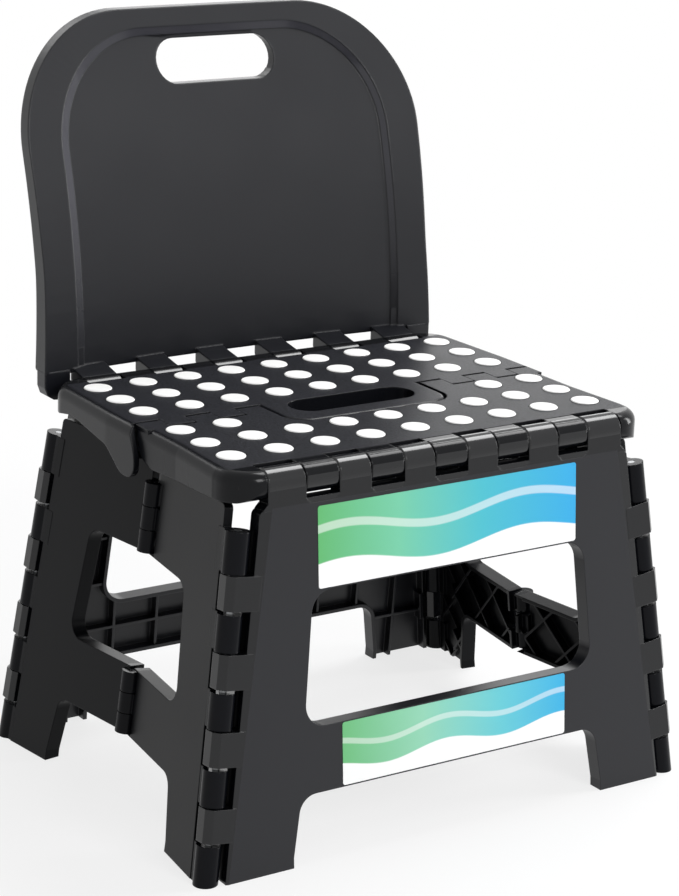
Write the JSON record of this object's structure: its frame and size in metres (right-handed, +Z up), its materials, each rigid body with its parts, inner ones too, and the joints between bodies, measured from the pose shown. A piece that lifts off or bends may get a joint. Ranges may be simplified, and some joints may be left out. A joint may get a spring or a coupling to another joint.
{
  "type": "folding step stool chair",
  "caption": "Low folding step stool with a curved backrest, a hinged two-part seat with a carrying slot, and leg and side panels that fold flat on pinned hinges.",
  "frame": {"origin": "on the floor, midway between the front and rear feet and under the seat's centre hinge", "axes": "+Z up, -Y towards the front where the user steps up, +X to the right as seen from the front"},
  "size_m": [0.3302, 0.2985, 0.428],
  "materials": {
    "stool_plastic": "moulded polypropylene, satin on the panels and fine grained on the seat",
    "grip_pads": "soft white grip pads",
    "hinge_pin": "plain drawn wire"
  },
  "bodies": {
    "rear_frame": {"rear_leg_panel": "stool_plastic", "backrest_panel": "stool_plastic", "rear_edge_pin": "hinge_pin", "rear_left_corner_pin": "hinge_pin", "rear_right_corner_pin": "hinge_pin"},
    "rear_seat": {"rear_seat_half": "stool_plastic", "rear_seat_pads": "grip_pads", "centre_pin_left": "hinge_pin", "centre_pin_right": "hinge_pin"},
    "front_seat": {"front_seat_half": "stool_plastic", "front_seat_pads": "grip_pads", "front_edge_pin": "hinge_pin"},
    "front_leg": {"front_leg_panel": "stool_plastic"},
    "left_rear_side": {"left_rear_side_panel": "stool_plastic", "left_upper_middle_pin": "hinge_pin", "left_lower_middle_pin": "hinge_pin"},
    "left_front_side": {"left_front_side_panel": "stool_plastic", "front_left_corner_pin": "hinge_pin"},
    "right_rear_side": {"right_rear_side_panel": "stool_plastic", "right_upper_middle_pin": "hinge_pin", "right_lower_middle_pin": "hinge_pin"},
    "right_front_side": {"right_front_side_panel": "stool_plastic", "front_right_corner_pin": "hinge_pin"}
  },
  "joints": [
    {"name": "seat_fold", "type": "hinge", "parent": "rear_frame", "child": "rear_seat", "pos_m": [0, 0.0998, 0.215], "axis": [-1, 0, 0], "range_deg": [0, 72.75]},
    {"name": "seat_centre_hinge", "type": "hinge", "parent": "rear_seat", "child": "front_seat", "pos_m": [0, 0, 0.21], "axis": [1, 0, 0], "range_deg": [0, 152.05]},
    {"name": "front_edge_hinge", "type": "hinge", "parent": "front_seat", "child": "front_leg", "pos_m": [0, -0.0998, 0.215], "axis": [-1, 0, 0], "range_deg": [0, 72.8]},
    {"name": "left_rear_corner_hinge", "type": "hinge", "parent": "rear_frame", "child": "left_rear_side", "pos_m": [-0.1528, 0.1138, 0.04], "axis": [0.1285, -0.0791, 0.9885], "range_deg": [0, 69.06]},
    {"name": "left_middle_hinge", "type": "hinge", "parent": "left_rear_side", "child": "left_front_side", "pos_m": [-0.14356, 0, 0.04], "axis": [-0.1226, 0, -0.9925], "range_deg": [0, 137.17]},
    {"name": "right_rear_corner_hinge", "type": "hinge", "parent": "rear_frame", "child": "right_rear_side", "pos_m": [0.1528, 0.1138, 0.04], "axis": [0.1285, 0.0791, -0.9885], "range_deg": [0, 69.06]},
    {"name": "right_middle_hinge", "type": "hinge", "parent": "right_rear_side", "child": "right_front_side", "pos_m": [0.14356, 0, 0.04], "axis": [-0.1226, 0, 0.9925], "range_deg": [0, 137.17]}
  ],
  "couplings": [
    {"joint": "seat_centre_hinge", "follows": "seat_fold", "ratio": 2.0892},
    {"joint": "front_edge_hinge", "follows": "seat_fold", "ratio": 1},
    {"joint": "left_rear_corner_hinge", "follows": "seat_fold", "ratio": 0.94858},
    {"joint": "left_middle_hinge", "follows": "seat_fold", "ratio": 1.8847},
    {"joint": "right_rear_corner_hinge", "follows": "seat_fold", "ratio": 0.94858},
    {"joint": "right_middle_hinge", "follows": "seat_fold", "ratio": 1.8847}
  ]
}
